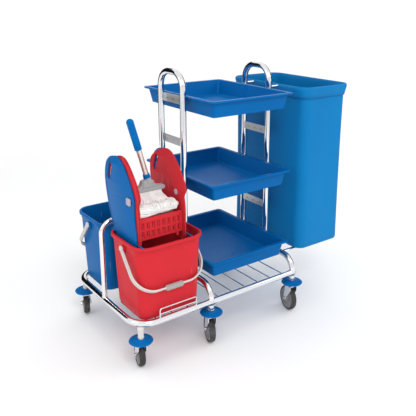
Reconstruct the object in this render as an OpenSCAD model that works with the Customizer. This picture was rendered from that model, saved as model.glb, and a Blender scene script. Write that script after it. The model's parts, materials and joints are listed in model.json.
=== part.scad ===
// Cleaning trolley with two buckets, a mop press, a mop, three trays and a laundry bag.
// Millimetres. +X runs from the buckets to the bag, -Y is the working side, Z is up from the floor.

/* [Overall] */
// Middle caster line from the left caster line
bucket_bay = 300; // [290:1:380]
// Right caster line from the middle caster line
shelf_bay = 430; // [340:1:560]
// Front rail to rear rail, centre to centre
base_w = 526; // [500:2:640]
// Top of the two racks above the floor
rack_h = 1065; // [1000:5:1300]
// Frame tube outside diameter
tube_d = 25; // [20:1:30]
// Centre of the base tube above the floor
rail_z = 185; // [180:1:210]

/* [Trays] */
// Tray length along Y, over the rim
tray_len = 500; // [400:5:600]
// Tray depth under the rim
tray_deep = 65; // [40:1:90]
// Top tray rim height
tray_z1 = 965; // [900:5:1000]
// Middle tray rim height
tray_z2 = 645; // [560:5:700]
// Bottom tray rim height
tray_z3 = 330; // [325:1:360]

/* [Buckets] */
// Bucket height
bucket_h = 292; // [240:2:310]
// Bucket rim depth along Y
bucket_d = 254; // [240:1:256]
// Bail reach from its pivots
bail_reach = 190; // [175:1:200]

/* [Press and mop] */
// Press width over the outer cheeks
press_w = 206; // [180:2:240]
// Length of mop handle above its collar
handle_len = 225; // [200:5:260]

/* [Bag] */
// Bag width along X, body only
bag_w = 256; // [180:2:300]
// Right rack to the bag wall
bag_gap = 62; // [38:1:80]
// Bag rim height
bag_z = 975; // [850:5:1000]

/* [Casters] */
// Corner wheel diameter
wheel_a = 90; // [70:1:92]
// Shelf wheel diameter
wheel_b = 108; // [80:1:112]
// Bumper disc diameter
bumper_d = 90; // [70:1:110]

/* [View] */
// Which sub-part to show

/* [Hidden] */
$fn = 64;

tr = tube_d / 2;
wall = 1.5;
fold_off = 12.4;                      // folded bag rim outside the bag wall
total_l = bumper_d / 2 + bucket_bay + shelf_bay + bag_gap + bag_w + fold_off;
xl = -total_l / 2 + bumper_d / 2;     // left caster line
xc = xl + bucket_bay;                 // middle caster line, left rack
xd = xc + shelf_bay;                  // right caster line, right rack
ry = base_w / 2;                      // rail line
corner_r = 80;
x_end = xl - 23.4;                    // left end of the base tube
y_in = ry - 23.4;                     // corner casters sit under the bends
loop_z = rail_z + 67;
rack_y = 80;
rack_r = 62;
rack_top = rack_h - tr;
div_z = rail_z + 320;
div_r = 10;
div_xr = xc - 6;                      // right leg, clear of the rack plates
div_bend = 45;

// casters: x, y, wheel radius, fork top, pin top, trail direction in degrees
C1 = [xl, y_in, wheel_a / 2, 100, 150, 72];
C2 = [xl, -y_in, wheel_a / 2, 100, 150, 76];
C3 = [xc, -ry, wheel_b / 2, 124, 164, 70];
C4 = [xd, -ry, wheel_b / 2, 124, 164, 78];
C5 = [xc, ry, wheel_b / 2, 124, 164, 262];
C6 = [xd, ry, wheel_b / 2, 124, 164, 244];

rod_r = 4;
floor_z = rail_z + rod_r;             // bucket floor, on the rods
rim_z = floor_z + bucket_h;
bx = xc - 168;                        // both buckets
by = bucket_d / 2 + 16.5;
bw = 290;
bucket_t = 2.5;
rod_gap = bx - x_end - corner_r - 5;  // side rods stand just past the corner bends
piv_z = rim_z - 32;
piv_x = 145.5;                        // outer face of the bucket's pivot bosses
piv_r = 6;
eye_r = 11;
bail_w = 16;
bail_t = 5.5;
bail_rest = 49.6;                     // degrees below level, the grip clear of the wall

px0 = bx - 124;                       // outer face of the left press cheek
px1 = px0 + press_w;
piv_y = -176;
piv_pz = rim_z + 151;
pin_r = 7;
pin_gap = 0.05;
cheek_t = 5;
jaw_in = cheek_t + 2;                 // jaw cheek from the outer face of the press
grid_w = press_w - 2 * (jaw_in + cheek_t);
grid_y = -216;                        // front face of the jaw grid
grid_z = 8;                           // lower edge of the jaw grid above the bucket rim
mx = px0 + 98;                        // mop clamp
my = -135;
mz = rim_z + 162;
lean = 16;
tube_r = 10;
tube_gap = 0.02;

tray_w = shelf_bay - tube_d - 2;      // hangs between the two racks
tray_x = (xc + xd) / 2;
tray_t = 3;
tray_rim = 15;
tray_r = 16;                          // rim corner radius

bag_c = xd + bag_gap + bag_w / 2;
bag_hy = 235;
bag_r = 40;
bag_t = 2;
bag_z0 = loop_z + 8.2;
hoop_r = 5;
hoop_off = hoop_r + 0.2;              // hoop centre outside the bag wall
hoop_z = bag_z - 8;
fold_h = 48;

// ---------- helpers ----------
module rrect(w, d, r) {
  square([w - 2 * r, d], center = true);
  square([w, d - 2 * r], center = true);
  for (i = [-1, 1]) for (j = [-1, 1]) translate([i * (w / 2 - r), j * (d / 2 - r)]) circle(r);
}
module slab(w, d, r, z, t) translate([0, 0, z]) linear_extrude(t) rrect(w, d, r);
module rodx(x0, x1, y, z, r) translate([x0, y, z]) rotate([0, 90, 0]) cylinder(h = x1 - x0, r = r);
module rody(y0, y1, x, z, r) translate([x, y0, z]) rotate([-90, 0, 0]) cylinder(h = y1 - y0, r = r);
module rodz(z0, z1, x, y, r) translate([x, y, z0]) cylinder(h = z1 - z0, r = r);
module bend_xy(x, y, z, big, r, a) translate([x, y, z]) rotate([0, 0, a])
  rotate_extrude(angle = 90) translate([big, 0]) circle(r);
module bend_yz(x, y, z, big, r) translate([x, y, z]) rotate([90, 0, 90])
  rotate_extrude(angle = 90) translate([big, 0]) circle(r);
module bend_xz(x, y, z, big, r) translate([x, y, z]) rotate([90, 0, 0])
  rotate_extrude(angle = 90) translate([big, 0]) circle(r);
// upside-down U that stands across the trolley
module arch_y(x, hw, z0, z1, big, r) {
  for (s = [0, 1]) mirror([0, s, 0]) {
    rodz(z0, z1 - big, x, hw, r);
    bend_yz(x, hw - big, z1 - big, big, r);
  }
  rody(-(hw - big), hw - big, x, z1, r);
}
// U that lies flat and opens to the right
module base_path(r) {
  for (s = [0, 1]) mirror([0, s, 0]) {
    rodx(x_end + corner_r, xd + 6, -ry, rail_z, r);
    bend_xy(x_end + corner_r, -ry + corner_r, rail_z, corner_r, r, 180);
  }
  rody(-ry + corner_r, ry - corner_r, x_end, rail_z, r);
}
module ring_path(cx, hx, hy, big, z, r) {
  for (s = [0, 1]) mirror([0, s, 0]) {
    rodx(cx - hx + big, cx + hx - big, hy, z, r);
    bend_xy(cx + hx - big, hy - big, z, big, r, 0);
    bend_xy(cx - hx + big, hy - big, z, big, r, 90);
  }
  for (i = [-1, 1]) rody(-hy + big, hy - big, cx + i * hx, z, r);
}

// ---------- frame ----------
module base_tube() color([0.8, 0.8, 0.82]) difference() {
  base_path(tr);
  base_path(tr - wall);
}
module end_loop(x) color([0.8, 0.8, 0.82]) difference() {
  arch_y(x, ry, rail_z, loop_z, 60, tr);
  arch_y(x, ry, rail_z - 1, loop_z, 60, tr - wall);
  for (i = [-1, 1]) rodx(x - 40, x + 40, i * ry, rail_z, tr);
}
module end_loop_mid() end_loop(xc);
module end_loop_right() end_loop(xd);
module shelf_wires() color([0.75, 0.75, 0.77]) difference() {
  for (i = [0:5]) rody(-ry, ry, xc + 45 + i * (shelf_bay - 90) / 5, rail_z, 3);
  for (i = [-1, 1]) rodx(xc, xd, i * ry, rail_z, tr);
}
module bucket_rods() color([0.75, 0.75, 0.77]) difference() {
  for (i = [-1, 0, 1]) rody(-ry, ry, bx + i * rod_gap, rail_z, rod_r);
  for (i = [-1, 1]) rodx(x_end, xc, i * ry, rail_z, tr);
}
module div_path(r, z0) {
  rodz(z0, div_z - div_bend, x_end, 0, r);
  translate([x_end + div_bend, 0, 0]) mirror([1, 0, 0]) bend_xz(0, 0, div_z - div_bend, div_bend, r);
  rodx(x_end + div_bend, div_xr - div_bend, 0, div_z, r);
  bend_xz(div_xr - div_bend, 0, div_z - div_bend, div_bend, r);
  rodz(z0 + 40, div_z - div_bend, div_xr, 0, r);
}
module divider_bar() color([0.85, 0.85, 0.83]) difference() {
  div_path(div_r, rail_z);
  div_path(div_r - wall, rail_z - 1);
  rody(-40, 40, x_end, rail_z, tr);
  rody(-40, 40, xc, loop_z, tr);
  translate([xc - 30, -20, rail_z]) cube([50, 40, loop_z - rail_z]);
}
module guard_wires() color([0.75, 0.75, 0.77]) difference() {
  for (s = [0, 1]) mirror([0, s, 0]) {
    for (x = [bx - 62, bx + 98]) rodz(rail_z, rail_z + 45, x, -ry, 2.5);
    rodx(bx - 64.5, bx + 100.5, -ry, rail_z + 45, 2.5);
    rodx(bx - 62, bx + 98, -ry, rail_z + 24, 2.5);
  }
  for (i = [-1, 1]) rodx(x_end, xc, i * ry, rail_z, tr);
}
module rack(x) color([0.8, 0.8, 0.82]) difference() {
  arch_y(x, rack_y, loop_z, rack_top, rack_r, tr);
  arch_y(x, rack_y, loop_z - 1, rack_top, rack_r, tr - wall);
  rody(-150, 150, x, loop_z, tr);
}
module rack_left() rack(xc);
module rack_right() rack(xd);
// tray plates carry a ledge under the tray rim; the two spare plates are flat
module plate(z, ledge) difference() {
  union() {
    translate([5, -rack_y, z - 16]) cube([3, 2 * rack_y, 32]);
    if (ledge) translate([5, -66, z + 13]) cube([19, 132, 3]);
  }
  for (y = [-42, 0, 42]) rodx(0, 12, y, z - 1, 3.5);
  for (y = [-rack_y, rack_y]) rodz(z - 20, z + 20, 0, y, tr);
}
module rack_plates() color([0.78, 0.78, 0.78])
  for (s = [0, 1]) translate([s == 0 ? xc : xd, 0, 0]) mirror([s, 0, 0]) {
    for (z = [tray_z1, tray_z2, tray_z3]) plate(z - 19.1, true);
    for (z = [tray_z1 - 185, tray_z2 - 199]) plate(z, false);
  }

// ---------- bag and its supports ----------
module hoop_stub(r) for (y = [-rack_y, rack_y]) rodx(xd, bag_c - bag_w / 2 - hoop_off, y, hoop_z, r);
module bag_hoop() color([0.75, 0.75, 0.77]) difference() {
  union() {
    ring_path(bag_c, bag_w / 2 + hoop_off, bag_hy + hoop_off, bag_r + hoop_off, hoop_z, hoop_r);
    hoop_stub(hoop_r);
  }
  for (y = [-rack_y, rack_y]) rodz(hoop_z - 20, hoop_z + 20, xd, y, tr);
}
module base_u(r) {
  for (s = [0, 1]) mirror([0, s, 0]) {
    rodx(xd, bag_c + bag_w / 2 - 70, -190, loop_z, r);
    bend_xy(bag_c + bag_w / 2 - 70, -130, loop_z, 60, r, 270);
  }
  rody(-130, 130, bag_c + bag_w / 2 - 10, loop_z, r);
}
module bag_base() color([0.8, 0.8, 0.82]) difference() {
  base_u(8);
  base_u(6.5);
  rody(-220, 220, xd, loop_z, tr);
}
// off is how far the outline stands outside the bag wall
module bag_slab(off, z, h) slab(bag_w + 2 * off, 2 * bag_hy + 2 * off, bag_r + off, z, h);
module laundry_bag() color([0.0, 0.5, 0.8]) difference() {
  translate([bag_c, 0, 0]) {
    difference() {
      bag_slab(0, bag_z0, bag_z - bag_z0);
      bag_slab(-bag_t, bag_z0 + bag_t, bag_z);
    }
    difference() {
      bag_slab(fold_off, bag_z - fold_h, fold_h);
      bag_slab(fold_off - bag_t, bag_z - fold_h - 1, fold_h - bag_t + 1);
      bag_slab(-bag_t, bag_z - fold_h - 10, fold_h + 20);
    }
  }
  hoop_stub(hoop_r + 0.3);
}

// ---------- casters ----------
module corner_socket(c) difference() {
  translate([c[0], c[1], c[3] + 12]) cylinder(h = 76, r1 = 9.5, r2 = 12.5);
  translate([c[0], c[1], c[3]]) cylinder(h = c[4] - c[3] + 1, r = 5.05);
}
module corner_sockets() color([0.86, 0.86, 0.84]) difference() {
  union() {
    corner_socket(C1);
    corner_socket(C2);
  }
  for (s = [0, 1]) mirror([0, s, 0]) {
    bend_xy(x_end + corner_r, -ry + corner_r, rail_z, corner_r, tr, 180);
    translate([x_end, -ry, rail_z]) cube([80, 80, 60]);
  }
}
module shelf_posts() color([0.8, 0.8, 0.82]) difference() {
  for (c = [C3, C4, C5, C6]) rodz(c[3] + 12, rail_z, c[0], c[1], 11);
  for (c = [C3, C4, C5, C6]) rodz(c[3], c[4] + 1, c[0], c[1], 5.05);
  for (i = [-1, 1]) rodx(xc - 20, xd + 20, i * ry, rail_z, tr);
}
module bumper(c, r0) translate([c[0], c[1], c[3] + 12]) rotate_extrude() polygon([[r0, 0],
  [bumper_d / 2 - 3, 0], [bumper_d / 2, 3], [bumper_d / 2, 5], [bumper_d / 2 - 4, 8.5],
  [r0 + 6, 12], [r0, 12]]);
module bumper_discs() color([0.05, 0.35, 0.75]) {
  for (c = [C1, C2]) bumper(c, 10.2);
  for (c = [C3, C4, C5, C6]) bumper(c, 11.02);
}
module at_caster(c) translate([c[0], c[1], 0]) rotate([0, 0, c[5]]) children();
trail = 24;
module fork(c) color([0.8, 0.8, 0.82]) at_caster(c) {
  rodz(c[3] - 4, c[3] + 9, 0, 0, 17);
  rodz(c[3], c[4], 0, 0, 5);
  translate([-17, -17.5, c[3] - 4]) cube([44, 35, 4]);
  for (i = [-1, 1]) translate([0, i * 16 + 1.5, 0]) rotate([90, 0, 0]) linear_extrude(3) difference() {
    union() {
      polygon([[-17, c[3]], [27, c[3]], [trail + 11, c[2]], [trail - 11, c[2]], [-17, c[3] - 14]]);
      translate([trail, c[2]]) circle(11);
    }
    translate([trail, c[2]]) circle(4);
  }
}
module axle(c) color([0.7, 0.7, 0.72]) at_caster(c) {
  rody(-17.5, 17.5, trail, c[2], 4);
  for (i = [-1, 1]) translate([trail, i * 20.5, c[2]]) rotate([90, 0, 0])
    cylinder(h = 6, r = 7.5, $fn = 6, center = true);
}
module wheel(c) color([0.62, 0.63, 0.64]) at_caster(c) translate([trail, 0, c[2]]) rotate([90, 0, 0])
  difference() {
    union() {
      cylinder(h = 20, r = c[2] - 9, center = true);
      cylinder(h = 27, r = 11, center = true);
    }
    for (i = [-1, 1]) translate([0, 0, i * 10]) difference() {
      cylinder(h = 8, r = c[2] - 14, center = true);
      cylinder(h = 9, r = 11, center = true);
    }
    cylinder(h = 40, r = 4.05, center = true);
  }
module tyre(c) color([0.22, 0.22, 0.23]) at_caster(c) translate([trail, 0, c[2]]) rotate([90, 0, 0])
  rotate_extrude() polygon([[c[2] - 9, -11], [c[2] - 4, -12], [c[2] - 1, -8], [c[2], -4], [c[2], 4],
    [c[2] - 1, 8], [c[2] - 4, 12], [c[2] - 9, 11]]);

// ---------- buckets ----------
module bucket_form(inset, z0, z1) hull() {
  translate([bx, by, z0]) linear_extrude(1) rrect(bw - 38 - 2 * inset, bucket_d - 49 - 2 * inset, 34);
  translate([bx, by, z1 - 1]) linear_extrude(1) rrect(bw - 16 - 2 * inset, bucket_d - 16 - 2 * inset, 48);
}
module bucket() {
  difference() {
    union() {
      bucket_form(0, floor_z + 15, rim_z);
      translate([bx, by, 0]) slab(bw - 44, bucket_d - 55, 31, floor_z, 16);
      translate([bx, by, 0]) slab(bw, bucket_d, 56, rim_z - 3, 3);
    }
    bucket_form(bucket_t, floor_z + 17, rim_z + 1);
    translate([bx, by, 0]) slab(bw - 49, bucket_d - 60, 29, floor_z + 3, 16);
  }
  difference() {
    translate([bx, by, 0]) slab(bw, bucket_d, 56, rim_z - 12, 11);
    translate([bx, by, 0]) slab(bw - 2 * bucket_t, bucket_d - 2 * bucket_t, 56 - bucket_t, rim_z - 13, 13);
  }
  for (s = [0, 1]) translate([bx, by, piv_z]) mirror([s, 0, 0]) difference() {
    rodx(piv_x - 14, piv_x, 0, 0, eye_r);
    rodx(piv_x - 7, piv_x + 1, 0, 0, piv_r + pin_gap);
  }
}
module at_bail() translate([bx, by, piv_z]) rotate([-bail_rest, 0, 0]) children();
module bail() at_bail() {
  for (s = [0, 1]) mirror([s, 0, 0]) {
    rodx(piv_x - 6.5, piv_x + 1, 0, 0, piv_r);
    rodx(piv_x + 0.7, piv_x + 0.7 + bail_t, 0, 0, eye_r);
    translate([piv_x + 0.7, 0, -bail_w / 2]) cube([bail_t, bail_reach - 82, bail_w]);
    translate([66.7, bail_reach - 85, 0]) rotate_extrude(angle = 90) translate([82.25, 0])
      square([bail_t, bail_w], center = true);
    difference() {
      translate([36, bail_reach - bail_t, -bail_w / 2]) cube([31, bail_t, bail_w]);
      for (x = [46, 58]) translate([x, bail_reach - 8, -4]) cube([5, 12, 8]);
    }
  }
  rodx(-36, 36, bail_reach - 2.75, 0, 4);
  for (i = [-1, 1]) translate([i * 38 - 2, bail_reach - 7, -9]) cube([4, 8, 18]);
}
module grip() at_bail() difference() {
  union() {
    rodx(-35.9, 35.9, bail_reach - 2.75, 0, 9.5);
    for (i = [-3:3]) translate([i * 9.6, bail_reach - 2.75, 0]) rotate([0, 90, 0])
      cylinder(h = 5, r = 11.5, center = true);
  }
  rodx(-40, 40, bail_reach - 2.75, 0, 4.02);
}
module front() mirror([0, 1, 0]) children();
module red_bucket() color([0.86, 0.12, 0.16]) front() bucket();
module red_bail() color([0.82, 0.82, 0.8]) front() bail();
module red_grip() color([0.6, 0.6, 0.6]) front() grip();
module blue_bucket() color([0.03, 0.35, 0.72]) bucket();
module blue_bail() color([0.82, 0.82, 0.8]) bail();
module blue_grip() color([0.6, 0.6, 0.6]) grip();

// ---------- press ----------
// outlines are (y, height above the bucket rim)
SHELL = [[-64, 295], [-97, 297], [-140, 271], [-180, 219], [-202, 181], [-208, 159], [-206, 125],
  [-217, 19], [-212, -19], [-70, -19], [-26, 51], [-2, 117], [12, 196], [0, 254], [-30, 284]];
JAW = [[-75, 296], [-139, 299], [-192, 254], [-229, 204], [-240, 170], [-228, 147], [-234, 89],
  [-234, -8], [-209, -25], [-186, -25], [-162, -8], [-135, -3], [-108, 6], [-84, 20], [-63, 38],
  [-45, 59], [-31, 83], [-21, 110], [5, 149], [14, 195], [1, 251]];
module cheek(x, t, pts) translate([x, 0, rim_z]) rotate([90, 0, 90]) linear_extrude(t) polygon(pts);
module hand_hole(x) hull() for (d = [-22, 22]) rodx(x - 10, x + 15, -28 - d * 0.35, rim_z + 232 + d, 10);
// feet that carry the press on the front and the back of the bucket rim
module rim_feet() {
  for (x = [px0, px1 - cheek_t]) translate([x, -266, rim_z + 0.1]) cube([cheek_t, 66, 4]);
  for (x = [px0, px1 - 14]) translate([x, -84, rim_z + 0.1]) cube([14, 66, 4]);
}
module press_shell() color([0.03, 0.35, 0.72]) difference() {
  union() {
    for (x = [px0, px1 - cheek_t]) cheek(x, cheek_t, SHELL);
    rim_feet();
  }
  for (x = [px0, px1 - cheek_t]) {
    hand_hole(x);
    rodx(x - 1, x + cheek_t + 1, piv_y, piv_pz, pin_r);
  }
}
module back_plate() translate([px0 + cheek_t, 0, rim_z]) rotate([90, 0, 90])
  linear_extrude(press_w - 2 * cheek_t)
  polygon([[-78, -17], [-71, -17], [-32, 50], [-9, 112], [-14, 114], [-38, 53]]);
module press_back() color([0.03, 0.35, 0.72]) difference() {
  back_plate();
  rim_feet();
  for (i = [0:7], j = [0:3]) translate([px0 + 29 + i * (press_w - 58) / 7 - 6, -90, rim_z + 2 + j * 26])
    cube([12, 100, 16]);
}
module press_drain() color([0.03, 0.35, 0.72]) difference() {
  translate([px0 + 23, -145, rim_z - 17]) cube([press_w - 46, 72, 4]);
  back_plate();
  for (i = [0:5], j = [0:2]) translate([px0 + 38 + i * (press_w - 76) / 5 - 5, -138 + j * 20, rim_z - 20])
    cube([10, 12, 10]);
}
module pivot_pins() color([0.7, 0.7, 0.72]) for (s = [0, 1])
  translate([s == 0 ? px0 : px1, piv_y, piv_pz]) mirror([s, 0, 0]) {
    translate([-8, -13, -13]) cube([8, 26, 26]);
    rodx(-1, jaw_in + cheek_t + 3, 0, 0, pin_r);
    rodx(jaw_in + cheek_t + 0.4, jaw_in + cheek_t + 3, 0, 0, 11);
  }
module jaw_cheeks() color([0.86, 0.12, 0.16]) for (x = [px0 + jaw_in, px1 - jaw_in - cheek_t]) difference() {
  cheek(x, cheek_t, JAW);
  hand_hole(x);
  rodx(x - 1, x + cheek_t + 1, piv_y, piv_pz, pin_r + pin_gap);
}
module jaw_grid() color([0.86, 0.12, 0.16]) translate([px0 + jaw_in + cheek_t, grid_y, rim_z]) difference() {
  union() {
    translate([0, 0, grid_z]) cube([grid_w, 6, 82]);
    translate([0, -1, grid_z + 75]) cube([grid_w, 12, 8]);
    translate([grid_w - 26, 0.5, grid_z - 13]) cube([12, 5, 14]);
  }
  // moulded pockets, each with a drain slot
  for (i = [0:7], j = [0, 1]) translate([15 + i * (grid_w - 30) / 7, -7, grid_z + 9 + j * 33]) {
    translate([-7, 0, 0]) cube([14, 11, 24]);
    translate([-1.5, 0, 4]) cube([3, 20, 16]);
  }
}

// ---------- mop ----------
module on_handle() translate([mx, my, mz + 46]) rotate([0, -lean, 0]) children();
module mop_clamp() color([0.6, 0.61, 0.62]) difference() {
  translate([mx, my, mz]) rotate([90, 0, 0]) linear_extrude(26, center = true) {
    translate([-60, 0]) square([120, 16]);
    for (i = [-1, 1]) translate([i * 60, 8]) circle(8);
    polygon([[-58, 15], [60, 15], [20, 44], [-26, 44]]);
  }
  translate([mx + 24, my - 20, mz + 18]) cube([22, 40, 4]);
  on_handle() translate([0, 0, -30]) cylinder(h = 80, r = tube_r + tube_gap);
}
module mop_collar() color([0.03, 0.35, 0.72]) difference() {
  on_handle() translate([0, 0, 6]) cylinder(h = 14, r1 = 14, r2 = 12.5);
  on_handle() cylinder(h = 40, r = tube_r + tube_gap);
}
module mop_tube() color([0.85, 0.85, 0.84]) on_handle() difference() {
  translate([0, 0, -30]) cylinder(h = handle_len + 10, r = tube_r);
  translate([0, 0, -31]) cylinder(h = handle_len + 5, r = tube_r - wall);
}
module mop_grip() color([0.03, 0.35, 0.72]) on_handle() difference() {
  union() {
    translate([0, 0, handle_len - 106]) cylinder(h = 106, r = 13.5);
    translate([0, 0, handle_len]) sphere(13.5);
  }
  translate([0, 0, handle_len - 107]) cylinder(h = 87 + tube_gap, r = tube_r + tube_gap);
}
module yarn_oval(x, y, z, a, b) translate([x, y, z]) scale([a, b, 1]) cylinder(h = 1, r = 1, $fn = 32);
module mop_yarn() color([0.95, 0.95, 0.93]) {
  hull() {
    yarn_oval(mx, my, mz - 1.1, 56, 12);
    yarn_oval(mx + 2, my - 22, rim_z + 118, 74, 34);
  }
  // the roll that lies on the top of the jaw grid
  hull() {
    yarn_oval(mx + 2, my - 26, rim_z + 132, 74, 34);
    yarn_oval(mx + 3, my - 36, rim_z + 112, 88, 49);
    yarn_oval(mx + 3, my - 34, rim_z + grid_z + 84.5, 86, 46);
  }
  hull() {
    yarn_oval(mx + 3, my - 24, rim_z + grid_z + 86, 86, 44);
    yarn_oval(mx + 3, my - 22, rim_z + 20, 84, 44);
    yarn_oval(mx + 3, my + 2, rim_z - 11, 78, 40);
  }
}

// ---------- trays ----------
module tray_form(inset, z0, z1) hull() {
  for (q = [[z0, tray_rim + 11, tray_r - 7], [z1 - 1, tray_rim, tray_r - 5]]) translate([tray_x, 0, q[0]])
    linear_extrude(1) rrect(tray_w - 2 * (q[1] + inset), tray_len - 2 * (q[1] + inset), q[2]);
}
module tray(z) color([0.03, 0.35, 0.72]) {
  difference() {
    union() {
      tray_form(0, z - tray_deep, z);
      translate([tray_x, 0, 0]) slab(tray_w, tray_len, tray_r, z - 3, 3);
    }
    tray_form(tray_t, z - tray_deep + tray_t, z + 1);
  }
}
module tray_top() tray(tray_z1);
module tray_middle() tray(tray_z2);
module tray_bottom() tray(tray_z3);

base_tube();
end_loop_mid();
end_loop_right();
shelf_wires();
bucket_rods();
divider_bar();
guard_wires();
rack_left();
rack_right();
rack_plates();
bag_hoop();
bag_base();
laundry_bag();
corner_sockets();
shelf_posts();
bumper_discs();
fork(C1);  // fork_1
axle(C1);  // axle_1
wheel(C1);  // wheel_1
tyre(C1);  // tyre_1
fork(C2);  // fork_2
axle(C2);  // axle_2
wheel(C2);  // wheel_2
tyre(C2);  // tyre_2
fork(C3);  // fork_3
axle(C3);  // axle_3
wheel(C3);  // wheel_3
tyre(C3);  // tyre_3
fork(C4);  // fork_4
axle(C4);  // axle_4
wheel(C4);  // wheel_4
tyre(C4);  // tyre_4
fork(C5);  // fork_5
axle(C5);  // axle_5
wheel(C5);  // wheel_5
tyre(C5);  // tyre_5
fork(C6);  // fork_6
axle(C6);  // axle_6
wheel(C6);  // wheel_6
tyre(C6);  // tyre_6
red_bucket();
red_bail();
red_grip();
blue_bucket();
blue_bail();
blue_grip();
press_shell();
press_back();
press_drain();
pivot_pins();
jaw_cheeks();
jaw_grid();
mop_grip();
mop_tube();
mop_collar();
mop_clamp();
mop_yarn();
tray_top();
tray_middle();
tray_bottom();
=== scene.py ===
import json
import math
import random
import bmesh
import bpy
from mathutils import Matrix, Vector


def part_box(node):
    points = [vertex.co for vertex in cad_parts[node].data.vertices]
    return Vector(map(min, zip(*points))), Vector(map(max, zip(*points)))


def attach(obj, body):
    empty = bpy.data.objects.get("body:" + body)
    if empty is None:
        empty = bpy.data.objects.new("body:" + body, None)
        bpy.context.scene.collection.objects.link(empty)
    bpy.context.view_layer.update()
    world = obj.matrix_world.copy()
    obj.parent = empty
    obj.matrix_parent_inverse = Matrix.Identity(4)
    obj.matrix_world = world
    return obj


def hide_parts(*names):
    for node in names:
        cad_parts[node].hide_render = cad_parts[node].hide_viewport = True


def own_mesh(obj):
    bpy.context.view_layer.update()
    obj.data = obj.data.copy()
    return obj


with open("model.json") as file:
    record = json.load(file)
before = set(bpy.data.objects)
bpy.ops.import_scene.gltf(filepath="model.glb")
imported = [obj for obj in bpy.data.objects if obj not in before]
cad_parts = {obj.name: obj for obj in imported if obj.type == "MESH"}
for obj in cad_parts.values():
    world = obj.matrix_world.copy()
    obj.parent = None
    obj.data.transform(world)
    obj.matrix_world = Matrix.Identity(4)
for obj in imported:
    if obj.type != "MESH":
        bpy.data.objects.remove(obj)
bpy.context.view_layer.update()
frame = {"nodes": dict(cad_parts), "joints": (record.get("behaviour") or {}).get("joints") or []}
joints = {joint["name"]: joint for joint in frame["joints"]}


# ---- Base tube and end loops ----
# One bright-chromed steel tube, bent into a long U, carries everything. Two hoops of the same
# tube are welded across it, and the trays, racks and bag stand over them.
class Level:
    """A number inside a material; + and * on it add Math nodes."""

    def __init__(self, finish, socket):
        self.finish = finish
        self.socket = socket

    def maths(self, operation, first, second):
        return self.finish.node("ShaderNodeMath", {"operation": operation}, {0: first, 1: second})

    def __add__(self, other):
        return self.maths("ADD", self, other)

    def __mul__(self, other):
        return self.maths("MULTIPLY", self, other)

    __radd__ = __add__
    __rmul__ = __mul__


class Finish:
    """A material around one Principled shader. Numbers that never change sit on its own sockets."""

    def __init__(self, name, **fixed):
        self.material = bpy.data.materials.new(name)
        self.material.use_nodes = True
        self.tree = self.material.node_tree
        self.shader = self.tree.nodes["Principled BSDF"]
        for socket, value in fixed.items():
            self.shader.inputs[socket.replace("_", " ")].default_value = value
        self.place = self.node("ShaderNodeTexCoord", out="Object")

    def node(self, kind, settings=None, sockets=None, out=0):
        made = self.tree.nodes.new(kind)
        for key, value in (settings or {}).items():
            if key == "stops":
                stops = made.color_ramp.elements
                while len(stops) < len(value):
                    stops.new(1.0)
                for stop, (place, colour) in zip(stops, value):
                    stop.position = place
                    stop.color = colour
            else:
                setattr(made, key, value)
        for key, value in (sockets or {}).items():
            if isinstance(value, Level):
                self.tree.links.new(value.socket, made.inputs[key])
            else:
                made.inputs[key].default_value = value
        return Level(self, made.outputs[out])

    def noise(self, scale, detail=2.0, stretch=None):
        """Even mottling, from 0 to 1; stretch squeezes it along the axes."""
        place = self.place
        if stretch:
            place = self.node("ShaderNodeVectorMath", {"operation": "MULTIPLY"}, {0: place, 1: stretch})
        return self.node("ShaderNodeTexNoise", None, {"Vector": place, "Scale": scale, "Detail": detail})

    def step(self, value, low, high):
        """0 below low, 1 above high, smooth between."""
        return self.node("ShaderNodeMapRange", {"interpolation_type": "SMOOTHSTEP"},
                         {"Value": value, "From Min": low, "From Max": high})

    def mix(self, mask, first, second):
        return self.node("ShaderNodeMix", {"data_type": "RGBA"}, {0: mask, 6: first, 7: second}, out=2)

    def feed(self, socket, value):
        self.tree.links.new(value.socket, self.shader.inputs[socket])

    def bump(self, relief, distance, strength=1.0):
        self.feed("Normal", self.node("ShaderNodeBump", None,
                  {"Height": relief, "Distance": distance, "Strength": strength}))


def chrome_finish(name, colour, roughness):
    finish = Finish(name, Metallic=1.0)
    smear = finish.noise(14.0, 4.0)
    haze = finish.step(finish.noise(3.0, 3.0), 0.55, 0.75)
    finish.feed("Base Color", finish.mix(haze * 0.5, (*colour, 1.0), (*[c * 0.88 for c in colour], 1.0)))
    finish.feed("Roughness", roughness + 0.07 * smear + 0.05 * haze)
    finish.bump(finish.noise(90.0, 2.0), 0.0002, 0.15)
    return finish


chrome = chrome_finish("bright_chrome", (0.80, 0.81, 0.83), 0.035)


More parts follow.
